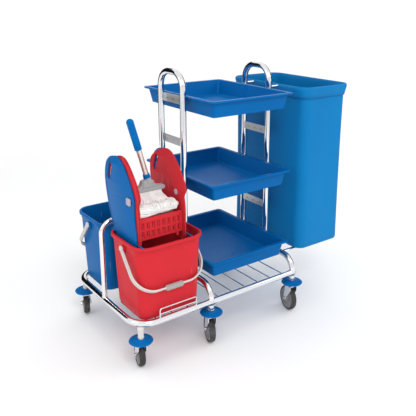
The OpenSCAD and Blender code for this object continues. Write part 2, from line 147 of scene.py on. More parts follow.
class Shape:
    """Points and faces of one piece, gathered from lofts, turned profiles and swept outlines."""

    def __init__(self):
        self.points = []
        self.faces = []

    def add(self, points, faces, place=None):
        start = len(self.points)
        self.points += [place @ Vector(p) if place else Vector(p) for p in points]
        self.faces += [[start + i for i in face] for face in faces]

    def loft(self, rings, place=None, ends=True, loop=False):
        """Skins rings that all have the same number of points."""
        count = len(rings[0])
        pairs = len(rings) if loop else len(rings) - 1
        faces = [(i * count + j, i * count + (j + 1) % count,
                  (i + 1) % len(rings) * count + (j + 1) % count, (i + 1) % len(rings) * count + j)
                 for i in range(pairs) for j in range(count)]
        if ends and not loop:
            faces += [list(range(count))[::-1], [(len(rings) - 1) * count + j for j in range(count)]]
        self.add([p for ring in rings for p in ring], faces, place)

    def turn(self, profile, place=None, steps=48):
        """Turns a list of (radius, height) about the z axis; a radius of 0 closes it."""
        rings = [[(max(r, 1e-6) * math.cos(math.tau * j / steps),
                   max(r, 1e-6) * math.sin(math.tau * j / steps), z)
                  for j in range(steps)] for r, z in profile]
        closed = profile[0] == profile[-1]
        self.loft(rings[:-1] if closed else rings, place, loop=closed)

    def sweep(self, path, outline, up, loop=False):
        """Carries an outline of (side, up) points along a path."""
        rings = []
        across = None
        for i, point in enumerate(path):
            ahead = path[(i + 1) % len(path)] if loop or i + 1 < len(path) else point
            behind = path[i - 1] if loop or i else point
            along = (ahead - behind).normalized()
            across = (along.cross(Vector(up)) if across is None
                      else across - along * across.dot(along)).normalized()
            over = across.cross(along)
            rings.append([point + across * a + over * b for a, b in outline])
        self.loft(rings, loop=loop)

    def block(self, low, high, edge=0.0006, corner=None, place=None):
        """A box with eased edges."""
        low, high = Vector(low), Vector(high)
        middle, size = (low + high) / 2, high - low
        corner = corner or edge
        levels = [(edge, low.z), (0.0, low.z + edge), (0.0, high.z - edge), (edge, high.z)]
        self.loft([[(x + middle.x, y + middle.y, z) for x, y, z in
                    rounded_ring(size.x - 2 * inset, size.y - 2 * inset, corner, z, 3)]
                   for inset, z in levels], place)

    def piece(self, name, body, finish, slot, stands_for=(), crease=40):
        mesh = bpy.data.meshes.new(name)
        mesh.from_pydata(self.points, [], self.faces)
        mesh.validate()
        tidy(mesh)
        mesh.shade_smooth()
        mesh.set_sharp_from_angle(angle=math.radians(crease))
        mesh.materials.append(finish.material)
        made = bpy.data.objects.new(name, mesh)
        bpy.context.collection.objects.link(made)
        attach(made, body)
        if stands_for:
            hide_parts(*stands_for)
        return made


def tidy(mesh):
    """Welds doubled points and turns every face outwards."""
    work = bmesh.new()
    work.from_mesh(mesh)
    bmesh.ops.remove_doubles(work, verts=work.verts, dist=0.00001)
    bmesh.ops.recalc_face_normals(work, faces=work.faces)
    work.to_mesh(mesh)
    work.free()


def rounded_ring(width, depth, corner, z, steps=10):
    """A rectangle with round corners at height z, anticlockwise."""
    ring = []
    for quarter, (sx, sy) in enumerate(((1, 1), (-1, 1), (-1, -1), (1, -1))):
        for i in range(steps + 1):
            angle = math.pi / 2 * (quarter + i / steps)
            ring.append((sx * (width / 2 - corner) + corner * math.cos(angle),
                         sy * (depth / 2 - corner) + corner * math.sin(angle), z))
    return ring


def circle(radius, sides=32):
    return [(radius * math.cos(math.tau * i / sides), radius * math.sin(math.tau * i / sides))
            for i in range(sides)]


def bent(points, bend, steps=14):
    """The centre line through the points, with an arc of radius bend at each inner corner."""
    points = [Vector(p) for p in points]
    path = [points[0]]
    for before, corner, after in zip(points, points[1:], points[2:]):
        inward, onward = (corner - before).normalized(), (after - corner).normalized()
        half = inward.angle(onward) / 2
        start = corner - inward * bend * math.tan(half)
        centre = corner + (onward - inward).normalized() * bend / math.cos(half)
        axis = inward.cross(onward).normalized()
        path += [centre + Matrix.Rotation(2 * half * i / steps, 3, axis) @ (start - centre)
                 for i in range(steps + 1)]
    return path + [points[-1]]


def tube_piece(name, runs, radius, up, finish=chrome, slot="chrome", body="frame"):
    """Round tube or wire along each of the runs, standing for the node of that name."""
    shape = Shape()
    for run in runs:
        shape.sweep(run, circle(radius, 32 if radius > 0.005 else 16), up)
    return shape.piece(name + "_tube", body, finish, slot, [name], 60)


base_low, base_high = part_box("base_tube")
tube_r = (base_high.z - base_low.z) / 2
rail_z = base_low.z + tube_r
rail_y = base_high.y - tube_r
end_x = base_low.x + tube_r
tube_piece("base_tube", [bent([(base_high.x, -rail_y, rail_z), (end_x, -rail_y, rail_z),
                               (end_x, rail_y, rail_z), (base_high.x, rail_y, rail_z)], 0.08)],
           tube_r, (0, 0, 1))


def arch(x, half_width, foot, top, bend):
    return bent([(x, -half_width, foot), (x, -half_width, top), (x, half_width, top),
                 (x, half_width, foot)],
                bend)


for loop_name in ("end_loop_mid", "end_loop_right"):
    low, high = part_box(loop_name)
    tube_piece(loop_name, [arch((low.x + high.x) / 2, rail_y, rail_z, high.z - tube_r, 0.06)], tube_r,
               (1, 0, 0))
mid_x = sum(corner.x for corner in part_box("end_loop_mid")) / 2
right_x = sum(corner.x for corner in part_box("end_loop_right")) / 2
loop_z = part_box("end_loop_mid")[1].z - tube_r


# ---- Weld beads ----
# Every foot that stands on another tube is held by a small fillet of weld, plated over with the rest.
weld = chrome_finish("plated_weld", (0.72, 0.73, 0.75), 0.16)
beads = Shape()


def saddle(x, y, z, foot, tube, along):
    """A bead round a foot of one radius where it meets a level tube of another radius."""
    path = []
    for i in range(40):
        angle = math.tau * i / 40
        side, forward = foot * math.cos(angle), foot * math.sin(angle)
        rise = math.sqrt(max(tube * tube - side * side, 0.0))
        path.append(Vector((x + side, y + forward, z + rise) if along == "y"
                           else (x + forward, y + side, z + rise)))
    beads.sweep(path, circle(0.0013, 8), (0, 0, 1), loop=True)


for x in (mid_x, right_x):
    for side in (-1, 1):
        saddle(x, side * rail_y, rail_z, tube_r, tube_r * 1.001, "x")
rack_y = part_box("rack_left")[1].y - tube_r
for x in (mid_x, right_x):
    for side in (-1, 1):
        saddle(x, side * rack_y, loop_z, tube_r, tube_r * 1.001, "y")
divider_r = (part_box("divider_bar")[1].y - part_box("divider_bar")[0].y) / 2
saddle(end_x, 0, rail_z, divider_r, tube_r, "y")
saddle(mid_x, 0, loop_z, divider_r, tube_r, "y")
beads.piece("weld_beads", "frame", weld, "chrome")

# ---- Tube end plugs ----
# Black push-in caps close the two open ends of the base tube.
def move(x, y, z):
    return Matrix.Translation((x, y, z))


def spin(angle, axis):
    return Matrix.Rotation(angle, 4, axis)


plug_plastic = Finish("black_plug", Base_Color=(0.02, 0.02, 0.022, 1.0))
plug_plastic.feed("Roughness", 0.35 + 0.2 * plug_plastic.noise(60.0))
plugs = Shape()
for side in (-1, 1):
    plugs.turn([(0, 0), (tube_r * 0.98, 0), (tube_r * 0.98, 0.002), (tube_r * 0.7, 0.0045), (0, 0.005)],
               move(base_high.x, side * rail_y, rail_z) @ spin(math.pi / 2, "Y"), 32)
plugs.piece("tube_end_plugs", "frame", plug_plastic, "tyre")

# ---- Divider bar ----
# A thinner tube bent into a low arch keeps the two buckets apart.
low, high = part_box("divider_bar")
divider_chrome = chrome_finish("divider_chrome", (0.84, 0.84, 0.83), 0.07)
tube_piece("divider_bar", [bent([(end_x, 0, rail_z), (end_x, 0, high.z - divider_r),
                                 (mid_x, 0, high.z - divider_r), (mid_x, 0, loop_z)], 0.045)],
           divider_r, (0, 1, 0), divider_chrome)

# ---- Wires ----
# Drawn steel wire, cut straight and spot-welded: the shelf, the bucket rests and the bucket guards.
low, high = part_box("shelf_wires")
wire_r = (high.z - low.z) / 2
wire_x = [low.x + wire_r + (high.x - low.x - 2 * wire_r) * i / 5 for i in range(6)]
tube_piece("shelf_wires", [[Vector((x, s * 0.995 * rail_y, rail_z)) for s in (-1, 1)] for x in wire_x],
           wire_r, (0, 0, 1))
low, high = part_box("bucket_rods")
rod_r = (high.z - low.z) / 2
tube_piece("bucket_rods", [[Vector((low.x + rod_r + (high.x - low.x - 2 * rod_r) * i / 2,
                                    s * 0.995 * rail_y, rail_z))
                            for s in (-1, 1)] for i in range(3)], rod_r, (0, 0, 1))
low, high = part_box("guard_wires")
guard_r = high.y - rail_y
guards = []
for side in (-1, 1):
    y = side * rail_y
    left, right, top = low.x + guard_r, high.x - guard_r, high.z - guard_r
    guards += [bent([(left, y, rail_z), (left, y, top), (right, y, top), (right, y, rail_z)], 0.008, 8),
               [Vector((left, y, top - 0.021)), Vector((right, y, top - 0.021))]]
tube_piece("guard_wires", guards, guard_r, (0, 1, 0))

# ---- Racks ----
# Two tall narrow hoops of the frame tube. They stand on the end loops and hold the trays between them.
for rack_name, x in (("rack_left", mid_x), ("rack_right", right_x)):
    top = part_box(rack_name)[1].z - tube_r
    tube_piece(rack_name, [arch(x, rack_y, loop_z, top, 0.062)], tube_r, (1, 0, 0))

# ---- Rack plates ----
# Flat steel strips with three holes, welded between the legs. Those at tray height carry a folded ledge.
satin = Finish("satin_steel", Metallic=1.0)
grain = satin.noise(60.0, 3.0, (1.0, 0.04, 1.0))
satin.feed("Base Color", satin.mix(grain, (0.50, 0.50, 0.51, 1.0), (0.66, 0.66, 0.67, 1.0)))
satin.feed("Roughness", 0.30 + 0.18 * grain)
satin.bump(grain, 0.0004, 0.25)
frame["nodes"]["rack_plates"].data.materials.clear()
frame["nodes"]["rack_plates"].data.materials.append(satin.material)

# ---- Laundry bag hoop and rest ----
# A wire hoop on two stubs holds the bag open, and a bent tube under it takes the weight.
low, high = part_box("bag_hoop")
hoop_r = (high.z - low.z) / 2
hoop_z = low.z + hoop_r
bag_low, bag_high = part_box("laundry_bag")
bag_x = (bag_low.x + bag_high.x) / 2
hoop_x, hoop_y = high.x - hoop_r - bag_x, high.y - hoop_r
hoop = Shape()
hoop_corner = 0.0452
hoop_line = rounded_ring(2 * hoop_x, 2 * hoop_y, hoop_corner, hoop_z, 14)
hoop.sweep([Vector((bag_x + x, y, z)) for x, y, z in hoop_line],
           circle(hoop_r, 20), (0, 0, 1), loop=True)
for side in (-1, 1):
    hoop.sweep([Vector((right_x + 0.008, side * rack_y, hoop_z)),
                Vector((bag_x - hoop_x, side * rack_y, hoop_z))],
               circle(hoop_r, 20), (0, 0, 1))
hoop.piece("bag_hoop_wire", "frame", chrome, "chrome", ["bag_hoop"], 60)
low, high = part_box("bag_base")
rest_r = (high.z - low.z) / 2
tube_piece("bag_base", [bent([(right_x, low.y + rest_r, loop_z), (high.x - rest_r, low.y + rest_r, loop_z),
                              (high.x - rest_r, high.y - rest_r, loop_z),
                              (right_x, high.y - rest_r, loop_z)], 0.06)],
           rest_r, (0, 0, 1))

# ---- Caster sockets, posts and bumper discs ----
# Pale moulded sockets under the two corners and short chromed posts under the shelf hold the swivel
# pins. Each carries a wide blue disc that takes the knocks along walls.
peel_scale = 260.0


def moulded_finish(name, colour, roughness=0.30, shade=0.8, scuff=0.0):
    """Injection-moulded plastic: a fine orange-peel skin, faint flow marks and, where used, scuffs."""
    finish = Finish(name, Specular_IOR_Level=0.05)
    flow = finish.noise(5.0, 3.0)
    darker = tuple(c * shade for c in colour)
    skin = finish.noise(peel_scale, 2.0)
    tone = finish.mix(finish.step(flow, 0.35, 0.7) * 0.5, (*colour, 1.0), (*darker, 1.0))
    if scuff:
        marks = finish.step(finish.noise(70.0, 5.0, (1.0, 1.0, 0.12)), 0.66, 0.72) * scuff
        tone = finish.mix(marks, tone, (*[min(1.0, c * 0.6 + 0.25) for c in colour], 1.0))
        finish.feed("Roughness", roughness + 0.08 * flow + 0.2 * marks)
    else:
        finish.feed("Roughness", roughness + 0.1 * flow)
    finish.feed("Base Color", tone)
    finish.bump(skin, 0.0003, 0.12)
    return finish


socket_plastic = moulded_finish("socket_plastic", (0.70, 0.67, 0.63), 0.35)
bumper_plastic = moulded_finish("bumper_plastic", (0.002, 0.130, 0.40), 0.25)
blue_plastic = moulded_finish("blue_plastic", (0.0008, 0.122, 0.385), 0.24, 0.88)


def swivel_place(i):
    """Where caster i turns, with +x towards its wheel."""
    pivot = Vector(joints[f"swivel_{i}_turn"]["pos_m"])
    wheel = Vector(joints[f"roller_{i}_spin"]["pos_m"])
    angle = math.atan2(wheel.y - pivot.y, wheel.x - pivot.x)
    place = move(pivot.x, pivot.y, 0) @ spin(angle, "Z")
    return place, wheel.z, (wheel - pivot).xy.length


def crown_z(i):
    """Top of the pressed fork of caster i, under its swivel pin."""
    pin_length = 0.05 if i < 3 else 0.04
    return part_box(f"fork_{i}")[1].z - pin_length


disc_gap, disc_r = 0.012, 0.045
sockets, posts, discs = Shape(), Shape(), Shape()
for i in range(1, 7):
    place, axle_z, trail = swivel_place(i)
    disc_z = crown_z(i) + disc_gap
    neck = 0.0102 if i < 3 else 0.011
    discs.turn([(neck, 0), (disc_r - 0.005, 0.0002), (disc_r - 0.0015, 0.0012), (disc_r, 0.0035),
                (disc_r - 0.0006, 0.0052), (disc_r - 0.0035, 0.0071), (disc_r - 0.012, 0.0078),
                (neck + 0.009, 0.0088), (neck + 0.006, 0.0112), (neck + 0.0045, 0.012), (neck, 0.012),
                (neck, 0)], place @ move(0, 0, disc_z), 56)
    if i < 3:
        sockets.turn([(0.0051, disc_z), (0.0095, disc_z), (0.0098, disc_z + 0.014),
                      (0.0116, disc_z + 0.017), (0.0116, disc_z + 0.0195), (0.0102, disc_z + 0.022),
                      (0.0121, disc_z + 0.050), (0.0128, disc_z + 0.054), (0.0128, disc_z + 0.0555),
                      (0.0118, disc_z + 0.057), (0.0095, disc_z + 0.062), (0.0051, disc_z + 0.062),
                      (0.0051, disc_z)], place, 40)
    else:
        posts.turn([(0.0051, disc_z), (0.011, disc_z), (0.011, disc_z + 0.0125), (0.0133, disc_z + 0.0135),
                    (0.0133, disc_z + 0.0165), (0.011, disc_z + 0.0175), (0.011, disc_z + 0.036),
                    (0.0051, disc_z + 0.036), (0.0051, disc_z)], place, 40)
discs.piece("bumper_disc_set", "frame", bumper_plastic, "bumper", ["bumper_discs"])
sockets.piece("corner_socket_pair", "frame", socket_plastic, "stem", ["corner_sockets"])
posts.piece("shelf_post_set", "frame", chrome, "chrome", ["shelf_posts"])

# ---- Casters ----
# Pressed steel forks bent from one strip, with a ball race on top, an axle bolt, a ribbed plastic
# wheel and a dark rubber tyre.
zinc = Finish("bright_zinc", Metallic=1.0)
spangle = zinc.noise(120.0, 3.0)
zinc.feed("Base Color", zinc.mix(spangle, (0.55, 0.56, 0.58, 1.0), (0.72, 0.72, 0.72, 1.0)))
zinc.feed("Roughness", 0.22 + 0.2 * spangle)
hub_plastic = moulded_finish("hub_plastic", (0.34, 0.35, 0.36), 0.38)
rubber = Finish("tyre_rubber", Specular_IOR_Level=0.35)
dust = rubber.step(rubber.noise(30.0, 5.0), 0.45, 0.8)
rubber.feed("Base Color", rubber.mix(dust, (0.040, 0.038, 0.036, 1.0), (0.11, 0.105, 0.10, 1.0)))
rubber.feed("Roughness", 0.62 + 0.2 * dust)
rubber.bump(rubber.noise(420.0, 3.0), 0.0003, 0.35)


def mirrored(half):
    """A profile that is the same on both sides of z = 0, from one half of it."""
    return half + [(r, -z) for r, z in reversed(half)]


def pressed_fork(top, axle_z, trail):
    """One strip bent into an upside-down U; its two legs narrow down to the axle."""
    half, bend, thick, eye = 0.016, 0.004, 0.003, 0.011
    path = [(-half, axle_z - eye + (top - bend - axle_z + eye) * i / 16) for i in range(17)]
    path += [(-half + bend - bend * math.cos(a), top - bend + bend * math.sin(a))
             for a in (0.4, 0.8, 1.2, 1.57)]
    path += [(-y, z) for y, z in reversed(path)]
    outer, inner = [], []
    for i, (y, z) in enumerate(path):
        before, after = path[max(i - 1, 0)], path[min(i + 1, len(path) - 1)]
        dy, dz = after[0] - before[0], after[1] - before[1]
        size = math.hypot(dy, dz)
        ny, nz = -dz / size * thick / 2, dy / size * thick / 2
        drop = min(1.0, max(0.0, (z - axle_z) / (top - 0.014 - axle_z)))
        ease = drop * drop * (3 - 2 * drop)
        front = trail + eye + (0.027 - trail - eye) * ease
        back = trail - eye + (-0.017 - trail + eye) * ease
        if z < axle_z:
            reach = math.sqrt(max(eye * eye - (z - axle_z) ** 2, 1e-8))
            front, back = trail + reach, trail - reach
        for row, side in ((outer, 1), (inner, -1)):
            row.append((back, front, y + ny * side, z + nz * side))
    return [[(o[0], o[2], o[3]), (o[1], o[2], o[3]), (n[1], n[2], n[3]), (n[0], n[2], n[3])]
            for o, n in zip(outer, inner)]


for i in range(1, 7):
    place, axle_z, trail = swivel_place(i)
    top = crown_z(i)
    fork = Shape()
    fork.loft(pressed_fork(top - 0.0015, axle_z, trail), place)
    fork.turn([(0, top - 0.001), (0.0165, top - 0.001), (0.017, top + 0.0005), (0.017, top + 0.0032),
               (0.0158, top + 0.0040), (0.0158, top + 0.0048), (0.0168, top + 0.0056),
               (0.0165, top + 0.0078), (0.0145, top + 0.0088), (0.005, top + 0.009), (0.005, top + 0.030),
               (0, top + 0.030)], place, 48)
    fork.piece(f"pressed_fork_{i}", f"swivel_{i}", chrome, "chrome", [f"fork_{i}"])
    axle = Shape()
    across = place @ move(trail, 0, axle_z) @ spin(math.pi / 2, "X")
    axle.turn(mirrored([(0, -0.0225), (0.0035, -0.0225), (0.004, -0.022)]), across, 24)
    for side in (-1, 1):
        axle.turn([(0.004, side * 0.0176), (0.0078, side * 0.0176), (0.0078, side * 0.0186),
                   (0.004, side * 0.0186), (0.004, side * 0.0176)], across, 32)
        levels = [(0.0064, 0.0186), (0.0074, 0.0190), (0.0074, 0.0222), (0.0066, 0.0228)]
        axle.loft([[(r * math.cos(math.tau * k / 6), r * math.sin(math.tau * k / 6), side * z)
                    for k in range(6)]
                   for r, z in levels], across)
    axle.piece(f"axle_bolt_{i}", f"swivel_{i}", zinc, "zinc", [f"axle_{i}"])
    wheel_r = axle_z
    rim_r = wheel_r - 0.009
    wheel = Shape()
    profile = mirrored([(0.00405, -0.0133), (0.0095, -0.0135), (0.011, -0.0125), (0.0115, -0.0035),
                        (rim_r - 0.006, -0.0035), (rim_r - 0.0045, -0.0095), (rim_r - 0.001, -0.0102),
                        (rim_r, -0.0095)])
    wheel.turn(profile + [profile[0]], across, 56)
    for k in range(8):
        spoke = across @ spin(math.tau * k / 8, "Z")
        wheel.block((0.010, -0.0012, -0.0085), (rim_r - 0.0045, 0.0012, 0.0085), 0.0005, None, spoke)
    wheel.piece(f"ribbed_wheel_{i}", f"roller_{i}", hub_plastic, "hub", [f"wheel_{i}"])
    tyre = Shape()
    profile = mirrored([(rim_r + 0.0001, 0.0108), (rim_r + 0.0035, 0.0118), (wheel_r - 0.0035, 0.0116),
                        (wheel_r - 0.0016, 0.0095), (wheel_r - 0.0006, 0.0070), (wheel_r - 0.0001, 0.0045),
                        (wheel_r, 0.0040), (wheel_r - 0.0012, 0.0036), (wheel_r - 0.0012, 0.0029),
                        (wheel_r, 0.0025)])
    tyre.turn(profile + [profile[0]], across, 72)
    tyre.piece(f"rubber_tyre_{i}", f"roller_{i}", rubber, "tyre", [f"tyre_{i}"])

# ---- Buckets ----
# Two injection-moulded buckets stand side by side on the rods: red for washing in front, blue for
# rinsing behind. Each has a turned-over rim, rounded walls, a foot and a boss for the bail at each end.
red_plastic = moulded_finish("red_plastic", (0.60, 0.027, 0.038), 0.26, 0.88, 0.25)
bucket_blue = moulded_finish("bucket_blue", (0.002, 0.122, 0.375), 0.26, 0.88, 0.25)
rim_w, rim_d, pivot_drop = 0.290, 0.254, 0.032


def bucket_rings(z0, z1):
    """Rings of the bucket wall from under the foot, over the rim and down to the inner floor."""
    levels = [(0.232, 0.185, 0.026, z0 + 0.0022), (0.238, 0.191, 0.028, z0 + 0.0003),
              (0.2425, 0.1955, 0.030, z0 + 0.0003), (0.2455, 0.1985, 0.031, z0 + 0.0022),
              (0.246, 0.199, 0.031, z0 + 0.0135), (0.2475, 0.2005, 0.032, z0 + 0.0150),
              (0.2510, 0.2040, 0.034, z0 + 0.0156), (0.2522, 0.2052, 0.034, z0 + 0.0172)]
    for share in (0.12, 0.3, 0.5, 0.7, 0.86, 0.90):
        levels.append((0.2522 + 0.0218 * share, 0.2052 + 0.0328 * share, 0.034 + 0.014 * share,
                       z0 + 0.0172 + (z1 - z0 - 0.0172) * share))
    levels += [(0.2758, 0.2396, 0.0485, z1 - 0.0250), (0.2766, 0.2404, 0.049, z1 - 0.0150),
               (0.2770, 0.2408, 0.049, z1 - 0.0045), (0.2850, 0.2490, 0.0535, z1 - 0.0040),
               (0.2858, 0.2498, 0.0538, z1 - 0.0050), (0.2862, 0.2502, 0.0540, z1 - 0.0112),
               (0.2872, 0.2512, 0.0545, z1 - 0.0120), (0.2890, 0.2530, 0.0555, z1 - 0.0118),
               (0.2898, 0.2538, 0.0558, z1 - 0.0106), (rim_w, rim_d, 0.0560, z1 - 0.0040),
               (0.2890, 0.2530, 0.0555, z1 - 0.0015), (0.2866, 0.2506, 0.0542, z1 - 0.0002),
               (0.2740, 0.2380, 0.0480, z1), (0.2714, 0.2354, 0.0467, z1 - 0.0010),
               (0.2704, 0.2344, 0.0462, z1 - 0.0035), (0.2694, 0.2334, 0.0457, z1 - 0.0250),
               (0.2686, 0.2322, 0.0455, z1 - 0.0290), (0.2476, 0.2006, 0.0320, z0 + 0.0220),
               (0.2462, 0.1992, 0.0312, z0 + 0.0170), (0.2410, 0.1940, 0.0290, z0 + 0.0050),
               (0.2350, 0.1880, 0.0260, z0 + 0.0032)]
    return [rounded_ring(w, d, corner, z, 10) for w, d, corner, z in levels]


def bucket(colour, finish):
    low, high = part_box(f"{colour}_bucket")
    x, y = (low.x + high.x) / 2, (low.y + high.y) / 2
    place = move(x, y, 0)
    shape = Shape()
    shape.loft(bucket_rings(low.z, high.z), place)
    pivot_z = high.z - pivot_drop
    for end in (-1, 1):
        across = move(x, y, pivot_z) @ spin(end * math.pi / 2, "Y")
        shape.turn([(0, 0.1320), (0.0125, 0.1320), (0.0115, 0.1440), (0.0108, 0.1453), (0.0065, 0.1455),
                    (0.00605, 0.1450), (0.00605, 0.1390), (0, 0.1388)], across, 40)
        for k in range(3):
            rib = across @ spin(math.tau * (k / 3 + 0.25), "Z")
            shape.block((0.010, -0.0011, 0.1335), (0.019, 0.0011, 0.1385), 0.0006, None, rib)
    shape.piece(f"{colour}_bucket_moulding", f"{colour}_bucket", finish, colour, [f"{colour}_bucket"])
    return x, y, pivot_z


# ---- Bails and grips ----
# Pale moulded bails of H section hang from the bosses, with lightening slots beside a wavy grey grip.
bail_plastic = moulded_finish("bail_plastic", (0.60, 0.59, 0.57), 0.36, 0.92)
grip_plastic = moulded_finish("grip_plastic", (0.40, 0.37, 0.36), 0.45, 0.85)
strap_section = [(-0.00275, -0.008), (0.00275, -0.008), (0.00275, -0.0060), (0.0013, -0.0050),
                 (0.0013, 0.0050), (0.00275, 0.0060), (0.00275, 0.008), (-0.00275, 0.008),
                 (-0.00275, 0.0060), (-0.0013, 0.0050), (-0.0013, -0.0050), (-0.00275, -0.0060)]


def bail(colour, x, y, pivot_z):
    grip_low, grip_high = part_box(f"{colour}_grip")
    hang = (grip_low + grip_high) / 2 - Vector((x, y, pivot_z))
    reach = hang.yz.length + 0.00275
    out = Vector((0, hang.y, hang.z)).normalized()
    place = move(x, y, pivot_z) @ Matrix(
        ((1, 0, 0, 0), (0, out.y, -out.z, 0), (0, out.z, out.y, 0), (0, 0, 0, 1)))
    shape = Shape()
    for end in (-1, 1):
        flip = place @ Matrix.Scale(end, 4, (1, 0, 0))
        shape.turn([(0, 0.1392), (0.0055, 0.1392), (0.006, 0.1397), (0.006, 0.1462), (0.0105, 0.1462),
                    (0.011, 0.1467), (0.011, 0.1509), (0.0103, 0.1516), (0.0070, 0.1517), (0.0062, 0.1508),
                    (0, 0.1507)],
                   flip @ spin(math.pi / 2, "Y"), 40)
        path = [Vector((0.14895, 0.0095, 0)), Vector((0.14895, reach - 0.085, 0))]
        path += [Vector((0.0667 + 0.08225 * math.cos(a), reach - 0.085 + 0.08225 * math.sin(a), 0))
                 for a in (math.pi / 2 * i / 24 for i in range(1, 25))]
        swept = Shape()
        swept.sweep(path, strap_section, (0, 0, 1))
        shape.add(swept.points, swept.faces, flip)
        near, far = reach - 0.0055, reach
        for z0, z1 in ((-0.008, -0.0048), (0.0048, 0.008)):
            shape.block((0.036, near, z0), (0.0669, far, z1), 0.0005, None, flip)
        for x0, x1 in ((0.036, 0.0415), (0.0485, 0.0525), (0.0595, 0.0669)):
            shape.block((x0, near + 0.0012, -0.0055), (x1, far - 0.0012, 0.0055), 0.0004, None, flip)
        shape.block((0.0362, reach - 0.007, -0.009), (0.040, reach + 0.001, 0.009), 0.001, 0.0018, flip)
    shape.turn([(0, -0.0362), (0.004, -0.0362), (0.004, 0.0362), (0, 0.0362)],
               place @ move(0, reach - 0.00275, 0) @ spin(math.pi / 2, "Y"), 24)
    shape.piece(f"{colour}_bail_strap", f"{colour}_bail", bail_plastic, "bail", [f"{colour}_bail"])
    handle = Shape()
    waves = [(0.00405, -0.0359), (0.0085, -0.0359), (0.0094, -0.0352)]
    waves += [(0.0105 + 0.001 * math.cos(math.tau * t / 0.0096), t)
              for t in (-0.0336 + 0.0672 * i / 84 for i in range(85))]
    waves += [(0.0094, 0.0352), (0.0085, 0.0359), (0.00405, 0.0359), (0.00405, -0.0359)]
    handle.turn(waves, place @ move(0, reach - 0.00275, 0) @ spin(math.pi / 2, "Y"), 40)
    handle.piece(f"{colour}_wavy_grip", f"{colour}_bail", grip_plastic, "grip", [f"{colour}_grip"])


for colour, finish in (("red", red_plastic), ("blue", bucket_blue)):
    bail(colour, *bucket(colour, finish))

# ---- Press ----
# Two blue cheeks on the bucket rim, joined by a slanted back grid and a drain grate, are the fixed
# half of the wringer. Two feet at the bottom of each cheek rest on the front and rear of the rim.


def between(a, b, c, d, t):
    """A point on the smooth curve through a, b, c and d, from b at t = 0 to c at t = 1."""
    return 0.5 * (2 * b + (c - a) * t + (2 * a - 5 * b + 4 * c - d) * t * t
                  + (3 * b - a - 3 * c + d) * t ** 3)


def smooth_outline(corners, steps=6):
    """A closed curve through the corners."""
    count, curve = len(corners), []
    for i in range(count):
        near = [Vector(corners[(i + k) % count]) for k in (-1, 0, 1, 2)]
        curve += [tuple(between(*near, j / steps)) for j in range(steps)]
    return curve


def inset(outline, distance):
    """The same closed curve, moved inwards; the outline runs clockwise or anticlockwise."""
    count = len(outline)
    turn = sum(outline[i][0] * outline[(i + 1) % count][1] - outline[(i + 1) % count][0] * outline[i][1]
               for i in range(count))
    sign = 1 if turn > 0 else -1
    moved = []
    for i in range(count):
        along = (Vector(outline[(i + 1) % count]) - Vector(outline[i - 1])).normalized()
        moved.append(tuple(Vector(outline[i]) + Vector((-along.y, along.x)) * sign * distance))
    return moved


def plate(shape, outlines, thick, edge, place):
    """A flat plate, z from 0 to thick, between closed outlines, with eased edges."""
    curve = bpy.data.curves.new("outline", "CURVE")
    curve.dimensions = "2D"
    curve.fill_mode = "BOTH"
    curve.extrude = thick / 2 - edge
    curve.bevel_depth = edge
    curve.bevel_resolution = 2
    curve.offset = -edge
    for outline in outlines:
        spline = curve.splines.new("POLY")
        spline.points.add(len(outline) - 1)
        for point, (x, y) in zip(spline.points, outline):
            point.co = (x, y, 0, 1)
        spline.use_cyclic_u = True
    holder = bpy.data.objects.new("outline", curve)
    mesh = bpy.data.meshes.new_from_object(holder)
    shape.add([v.co for v in mesh.vertices], [list(p.vertices) for p in mesh.polygons],
              place @ move(0, 0, thick / 2))
    bpy.data.meshes.remove(mesh)
    bpy.data.objects.remove(holder)
    bpy.data.curves.remove(curve)


def slot_hole(y, z, half, radius, slope):
    """A long round-ended hole that leans by slope."""
    along = Vector((-slope, 1)).normalized()
    across = Vector((along.y, -along.x))
    ring = []
    for end in (1, -1):
        for i in range(13):
            angle = math.pi * i / 12
            ring.append(tuple(Vector((y, z)) + end * (along * (half + radius * math.sin(angle))
                                                      + across * radius * math.cos(angle))))
    return ring


def disc(y, z, radius, sides=32):
    return [(y + radius * math.cos(math.tau * i / sides), z + radius * math.sin(math.tau * i / sides))
            for i in range(sides)]


def lattice(shape, place, width, height, depth, columns, rows, bar, frame_bar):
    """Crossed bars in a frame, standing on the xz plane and depth thick in y."""
    for i in range(columns + 1):
        half = (frame_bar if i in (0, columns) else bar) / 2
        x = (width - frame_bar) * (i / columns - 0.5)
        shape.block((x - half, 0, 0), (x + half, depth, height), 0.0008, None, place)
    for j in range(rows + 1):
        half = (frame_bar if j in (0, rows) else bar) / 2
        z = frame_bar / 2 + (height - frame_bar) * j / rows
        shape.block((-width / 2, 0.0003, z - half), (width / 2, depth - 0.0003, z + half), 0.0008, None,
                    place)


press_low, press_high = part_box("press_shell")
rim_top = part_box("red_bucket")[1].z
press_x = (press_low.x + press_high.x) / 2
half_press = (press_high.x - press_low.x) / 2
hinge = Vector(joints["jaw_squeeze"]["pos_m"])
shell_corners = [(-64, 295), (-97, 297), (-140, 271), (-180, 219), (-202, 181), (-208, 159), (-206, 125),
                 (-209, 90), (-213, 55), (-217, 19), (-214, -16), (-207, -19), (-120, -19), (-74, -19),
                 (-66, -13), (-26, 51), (-2, 117), (12, 196), (0, 254), (-30, 284)]
jaw_corners = [(-75, 296), (-139, 299), (-192, 254), (-229, 204), (-240, 170), (-228, 147), (-232, 118),
               (-234, 89), (-234, 40), (-234, -4), (-230, -11), (-213, -24), (-190, -25), (-162, -8),
               (-135, -3), (-108, 6), (-84, 20), (-63, 38), (-45, 59), (-31, 83), (-21, 110), (5, 149),
               (14, 195), (1, 251)]
shell_outline = smooth_outline([(y / 1000, z / 1000) for y, z in shell_corners])
jaw_outline = smooth_outline([(y / 1000, z / 1000) for y, z in jaw_corners])
grab = slot_hole(-0.028, 0.232, 0.0235, 0.0105, 0.35)


